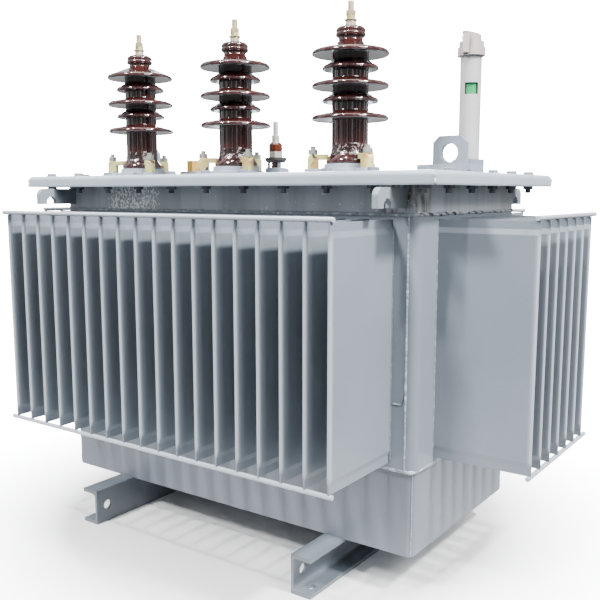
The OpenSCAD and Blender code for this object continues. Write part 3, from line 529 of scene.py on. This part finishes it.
turned("cover_bolt_heads", at_height(bolt_xy, COVER_Z),
       [(0, 0, 0), (WASHER_R, 0, 0), (WASHER_R, HEAD_FOOT, 0), (HEAD_R, HEAD_FOOT, 1),
        (HEAD_R, HEAD_TOP - 0.8, 1), (HEAD_R - 0.6, HEAD_TOP, 0.6), (0, HEAD_TOP, 0)],
       MATERIALS["tank_paint"], turns=bolt_turns)
turned("cover_bolt_nuts", at_height(bolt_xy, FLANGE_Z),
       [(0, 0, 0), (WASHER_R, 0, 0), (WASHER_R, NUT_FOOT, 0), (NUT_R, NUT_FOOT, 1),
        (NUT_R, NUT_END + 0.7, 1), (NUT_R - 0.9, NUT_END, 0.4), (BOLT_R, NUT_END, 0),
        (BOLT_R, BOLT_END + 0.8, 0), (BOLT_R - 0.8, BOLT_END, 0), (0, BOLT_END, 0)],
       STEEL, turns=bolt_turns)

# High-voltage porcelain, turned from a smooth profile in place of the CAD solid; heights are above its foot
FOOT_R, BARREL_R, SHED_R, SMALL_SHED_R, NECK_R, DOME_R = 46.0, 35.5, 74.5, 54.5, 23.5, 29.0
FIRST_SHED, SHED_STEP, SMALL_SHED_SHARE, SHED_RISE = 86.0, 61.0, 0.55, 17.0
# Above the rim of the top shed: where the neck starts, and the dome's foot and top
NECK_FOOT, DOME_FOOT, DOME_TOP = 27.5, 31.0, 53.0
RIM_R, EDGE_W, EDGE_H, HOLLOW, ROOT_R = 3.0, 8.0, 7.0, 4.0, 5.0


def shed(r, z, inner, rise):
    """One shed with its rim at height z, as rows of radius and height.

    Four quarter arcs joined by straight lines: a hollow one where the underside leaves the barrel, two
    convex ones round the rim, and a hollow one where the upper side meets radius inner.
    """
    turn = np.radians(np.linspace(0.0, 90.0, 8))
    c, n = np.cos(turn), np.sin(turn)
    under = np.column_stack([BARREL_R + HOLLOW * (1 - c), z + HOLLOW * n])
    low = np.column_stack([r - RIM_R + RIM_R * n, z - RIM_R * c])
    high = np.column_stack([r - EDGE_W + EDGE_W * c, z + EDGE_H * n])
    root = np.column_stack([inner + ROOT_R * (1 - n), z + rise - ROOT_R * c])
    return np.concatenate([under, low, high[1:], root])


foot = smooth_line([(0, 0), (FOOT_R - 2, 0), (FOOT_R, 1.5), (FOOT_R, 8),
                    (BARREL_R + 1.5, 20), (BARREL_R, 32), (BARREL_R, 40)], 2)
sheds = [shed(r, FIRST_SHED + k * SHED_STEP, BARREL_R, SHED_RISE)
         for k, r in ((0, SHED_R), (SMALL_SHED_SHARE, SMALL_SHED_R),
                      (1, SHED_R), (1 + SMALL_SHED_SHARE, SMALL_SHED_R))]
top_z = FIRST_SHED + 2 * SHED_STEP
top_shed = shed(SHED_R, top_z, NECK_R, NECK_FOOT)
neck = [(NECK_R, top_z + DOME_FOOT - 0.1)]
# The dome's outline as shares of its radius and height: a lip, a groove and a round crown
dome_rows = np.array([(0.88, 0), (1, 0.1), (1, 0.32), (0.94, 0.4), (0.98, 0.48), (0.98, 0.68),
                      (0.84, 0.87), (0.42, 1), (0, 1)])
dome = smooth_line(dome_rows * (DOME_R, DOME_TOP - DOME_FOOT), 2) + (0, top_z + DOME_FOOT)
profile = np.concatenate([foot, *sheds, top_shed, neck, dome])
profile = np.column_stack([profile, np.zeros(len(profile))])
for number, place in zip(HV_NUMBERS, HV_PLACES):
    porcelain = turned(f"porcelain_{number}", [(*place, HV_FOOT_Z)], profile, MATERIALS["brown_porcelain"],
                       sides=96, sharp=80.0)
    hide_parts(f"hv_porcelain_{number}")

# Weld beads: distance between points of a path, and length over which a bead's width wanders
PATH_STEP, WANDER_LEN = 2.0, 14.0
# Shares of the radius that ripple and wander, and the angles of the round section
RIPPLE_SHARE, WANDER_SHARE = 0.40, 0.16
SECTION = np.radians(np.linspace(-105, 105, 10))


def bead(name, path, out, up, radius, ripple, material=WELD):
    """Weld bead: a round section with a flat back, sunk in the plate, carried along a path.

    The radius at path length s is the mean one times 1 plus a rounded sawtooth of s over the ripple
    length and a wandering noise. out and up are the directions across the bead, one row a path point or
    one for all. A path that comes back to its start makes a ring, and any other is closed by flat ends.
    """
    path = np.asarray(path, float)
    out = np.broadcast_to(np.asarray(out, float), path.shape)
    up = np.broadcast_to(np.asarray(up, float), path.shape)
    step = np.linalg.norm(np.diff(path, axis=0), axis=1)
    s = np.concatenate([[0.0], np.cumsum(step)])
    knots = max(int(s[-1] / WANDER_LEN), 4)
    wander = np.interp(s, np.linspace(0, s[-1], knots), rng.normal(0, 1, knots))
    wave = np.abs(np.sin(np.pi * s / ripple + 0.8 * wander)) ** 0.6 - 0.6
    r = radius * (1 + RIPPLE_SHARE * wave + WANDER_SHARE * np.clip(wander, -2, 2))
    if np.allclose(path[0], path[-1]):
        r[-1] = r[0]
    else:
        ends = np.concatenate([[0], np.arange(len(path)), [len(path) - 1]])
        path, out, up, r = path[ends], out[ends], up[ends], r[ends]
        r[[0, -1]] = 0.0
    across = np.cos(SECTION)[:, None] * out[:, None, :] + np.sin(SECTION)[:, None] * up[:, None, :]
    points = path[:, None, :] + r[:, None, None] * across
    return grid_mesh(name, points[None], material, sharp=70.0)


def ring_path(half_x, half_y, corner, z):
    """Points and outward directions along a rectangle with round corners, all at height z."""
    lx, ly = half_x - corner, half_y - corner
    arc = np.linspace(0, np.pi / 2, 12)
    points, outs = [], []
    for cx, cy, a0 in ((lx, ly, 0), (-lx, ly, 90), (-lx, -ly, 180), (lx, -ly, 270)):
        a = arc + math.radians(a0)
        outs.append(np.column_stack([np.cos(a), np.sin(a)]))
        points.append(np.column_stack([cx + corner * np.cos(a), cy + corner * np.sin(a)]))
    points, outs = np.concatenate(points), np.concatenate(outs)
    points, outs = np.vstack([points, points[:1]]), np.vstack([outs, outs[:1]])
    s = np.concatenate([[0.0], np.cumsum(np.linalg.norm(np.diff(points, axis=0), axis=1))])
    t = np.append(np.arange(0.0, s[-1] - PATH_STEP / 2, PATH_STEP), s[-1])
    xy = np.column_stack([np.interp(t, s, points[:, k]) for k in (0, 1)])
    out = np.column_stack([np.interp(t, s, outs[:, k]) for k in (0, 1)])
    return at_height(xy, z), at_height(out, 0.0)


def upright(x, y, low, high):
    """Points up a vertical line."""
    z = np.arange(low, high, PATH_STEP)
    return np.column_stack([np.full(len(z), x), np.full(len(z), y), z])


UP = (0.0, 0.0, 1.0)
# Welds stop short of an edge, and the lap weld lies sunk in the step below the finned walls
SHORT, RIM_SHORT, SINK = 2.0, 1.0, 2.0
# How far the corner welds of the lower tank and of the cover lie inside the sharp corner
LOWER_ROUND, COVER_ROUND = 4.0, 2.5
# Share of each axis in a direction halfway between two faces
HALFWAY = 0.7
path, out = ring_path(TANK_X, TANK_Y, BEND_R, NECK_Z)
bead("neck_weld", path, out, UP, radius=3.0, ripple=10.0, material=STITCH_WELD)
path, out = ring_path(TANK_X - SINK, TANK_Y - SINK, BEND_R - SINK, WALL_Z)
bead("lap_weld", path, out, UP, radius=3.8, ripple=12.0)
# Short cross seam beside the front right fin, with a bead that rises to the corner seam as a parabola
CROSS_Z, CROSS_GAP, CROSS_BEND, CROSS_RISE = 375.0, 3.0, 10.0, 0.25
x = np.arange(LAST_FIN_X + CROSS_GAP, SEAM_X, PATH_STEP)
rise = np.maximum(x - (SEAM_X - CROSS_BEND), 0.0) ** 2 * CROSS_RISE
path = np.column_stack([x, np.full(len(x), -TANK_Y), CROSS_Z + rise])
bead("front_right_cross_weld", path, UP, (0, -1, 0), radius=2.2, ripple=9.0)
for side, sx in (("right", 1), ("left", -1)):
    for face, sy in (("front", -1), ("rear", 1)):
        here = f"{face}_{side}"
        across, outward = (sx * HALFWAY, -sy * HALFWAY, 0), (sx * HALFWAY, sy * HALFWAY, 0)
        path = upright(sx * SEAM_X, sy * TANK_Y, WALL_Z + SHORT, NECK_Z - SHORT)
        bead(f"{here}_seam_weld", path, (1, 0, 0), (0, sy, 0), radius=2.4, ripple=9.0)
        path = upright(sx * (LOWER_X - LOWER_ROUND), sy * (LOWER_Y - LOWER_ROUND),
                       LOWER_Z + SHORT, WALL_Z - SHORT)
        bead(f"{here}_lower_weld", path, across, outward, radius=1.8, ripple=8.0)
        path = upright(sx * LAST_FIN_X, sy * TANK_Y, FIN_LOW, FIN_HIGH)
        bead(f"{here}_fin_weld", path, (sx, 0, 0), (0, sy, 0), radius=1.3, ripple=7.0)
        path = upright(sx * TANK_X, sy * LAST_END_FIN_Y, FIN_LOW, FIN_HIGH)
        bead(f"{here}_end_fin_weld", path, (0, sy, 0), (sx, 0, 0), radius=1.3, ripple=7.0)
        path = upright(sx * (COVER_X - COVER_ROUND), sy * (COVER_Y - COVER_ROUND),
                       RIM_Z + RIM_SHORT, COVER_Z - COVER_T)
        bead(f"{here}_cover_weld", path, across, outward, radius=4.6, ripple=9.0, material=CORNER_HIGHLIGHT_WELD)

# Pale matt floor that fades into the white surroundings, from half a metre to 1.2 m from the part's middle
FLOOR_HALF, FADE_START, FADE_END = 6.0, 0.5, 1.2
floor_mesh = bpy.data.meshes.new("floor")
floor_corners = np.array([(-1, -1, 0), (1, -1, 0), (1, 1, 0), (-1, 1, 0)]) * FLOOR_HALF
floor_mesh.from_pydata(floor_corners.tolist(), [], [(0, 1, 2, 3)])
floor = bpy.data.objects.new("floor", floor_mesh)
bpy.context.collection.objects.link(floor)
floor_mat, floor_tree, floor_bsdf, floor_place = start_material("pale studio floor")
away = add(floor_tree, "VectorMath", {0: floor_place}, "Value", operation="LENGTH")
fade = add(floor_tree, "MapRange", {"Value": away, "From Min": FADE_START, "From Max": FADE_END,
                                    "To Min": 1.0, "To Max": 0.0})
feed(floor_tree, floor_bsdf, {"Base Color": linear("d2d2d2"), "Roughness": 0.8, "Alpha": fade})
floor_mesh.materials.append(floor_mat)

# White surroundings: brighter from above than from the side, little from below, with soft upright strips
SKY_DOWN, SKY_LOW, SKY_HIGH, WHITE, WALL = 0.10, 0.38, 0.80, 25.0, 0.55
SKY_TINT = (0.96, 0.98, 1.0, 1.0)
STRIP_SCALE, STRIP_DARK, STRIP_BRIGHT = 5.0, 0.5, 4.5
world = bpy.data.worlds.new("studio")
bpy.context.scene.world = world
world.use_nodes = True
sky = world.node_tree
ray = add(sky, "TexCoord", out="Generated")
height = add(sky, "SeparateXYZ", {"Vector": ray}, "Z")
level_ray = add(sky, "VectorMath", {0: ray, 1: (1.0, 1.0, 0.0)}, operation="MULTIPLY")
level_ray = add(sky, "VectorMath", {0: level_ray}, operation="NORMALIZE")
strips = add(sky, "TexNoise", {"Vector": level_ray, "Scale": STRIP_SCALE, "Detail": 2.0})
strips = add(sky, "MapRange", {"Value": strips, "From Min": 0.50, "From Max": 0.62,
                               "To Min": STRIP_DARK, "To Max": STRIP_BRIGHT})
upper = add(sky, "MapRange", {"Value": height, "From Max": 0.8, "To Min": SKY_LOW, "To Max": SKY_HIGH})
lower = add(sky, "MapRange", {"Value": height, "From Min": -0.15, "From Max": 0.02, "To Min": SKY_DOWN})
light = add(sky, "Math", {0: strips, 1: upper}, operation="MULTIPLY")
light = add(sky, "Math", {0: light, 1: lower}, operation="MULTIPLY")
rays = add(sky, "LightPath").node.outputs
# Glossy surfaces also mirror a white wall below the horizon, which lights the undersides of the sheds
wall = band(sky, height, -0.50, -0.08, 0.06, unit=1.0, within=rays["Is Glossy Ray"])
light = add(sky, "Math", {0: wall, 1: WALL, 2: light}, operation="MULTIPLY_ADD")
# The camera sees the surroundings as plain white
glow = add(sky, "Math", {0: rays["Is Camera Ray"], 1: WHITE, 2: light}, operation="MULTIPLY_ADD")
feed(sky, sky.nodes["Background"], {"Color": SKY_TINT, "Strength": glow})


def softbox(name, place, target, size, watts):
    """Square area light at a place in metres, turned to a target."""
    data = bpy.data.lights.new(name, "AREA")
    data.shape = "SQUARE"
    data.size = size
    data.energy = watts
    lamp = bpy.data.objects.new(name, data)
    lamp.location = place
    direction = np.subtract(target, place)
    level = math.hypot(direction[0], direction[1])
    lamp.rotation_euler = (math.atan2(level, -direction[2]), 0.0, math.atan2(-direction[0], direction[1]))
    bpy.context.collection.objects.link(lamp)


softbox("key", (3.4, -0.25, 4.15), (0, 0, 0.5), size=0.42, watts=680.0)
softbox("side", (3.3, -1.15, 3.0), (0, 0, 0.6), size=1.4, watts=200.0)
softbox("fill", (-1.0, -3.9, 4.3), (0, 0, 0.6), size=0.7, watts=540.0)
softbox("top", (0.2, -0.3, 4.6), (0, 0, 0.8), size=2.6, watts=130.0)
softbox("rear", (-2.4, 3.6, 2.8), (0, 0, 0.6), size=2.0, watts=320.0)
# Far lamp in front and high up, so that its light falls down between the fins on to the lower tank
FAR_TILT, FAR_WIDTH = 26.0, 3.0
sun = bpy.data.lights.new("far lamp", "SUN")
sun.energy = 3.3
sun.angle = math.radians(FAR_WIDTH)
far = bpy.data.objects.new("far lamp", sun)
far.rotation_euler = (math.radians(FAR_TILT), 0.0, 0.0)
bpy.context.collection.objects.link(far)

# Camera: picture's width, focal length and optical centre in pixels, place in metres and angles in degrees
IMAGE, FOCAL, CENTRE_X, CENTRE_Y = 600.0, 800.0, 303.1, 307.6
CAMERA_PLACE, LOOK_DOWN, LOOK_LEFT = (1.13342, -1.50732, 0.76353), 8.168, 35.303
SENSOR = 36.0
view = bpy.data.cameras.new("camera")
view.sensor_width = SENSOR
view.lens = FOCAL / IMAGE * SENSOR
view.shift_x = -(CENTRE_X - IMAGE / 2) / IMAGE
view.shift_y = (CENTRE_Y - IMAGE / 2) / IMAGE
view.clip_end = 100.0
camera = bpy.data.objects.new("camera", view)
camera.location = CAMERA_PLACE
camera.rotation_euler = (math.radians(90 - LOOK_DOWN), 0.0, math.radians(LOOK_LEFT))
bpy.context.collection.objects.link(camera)
bpy.context.scene.camera = camera
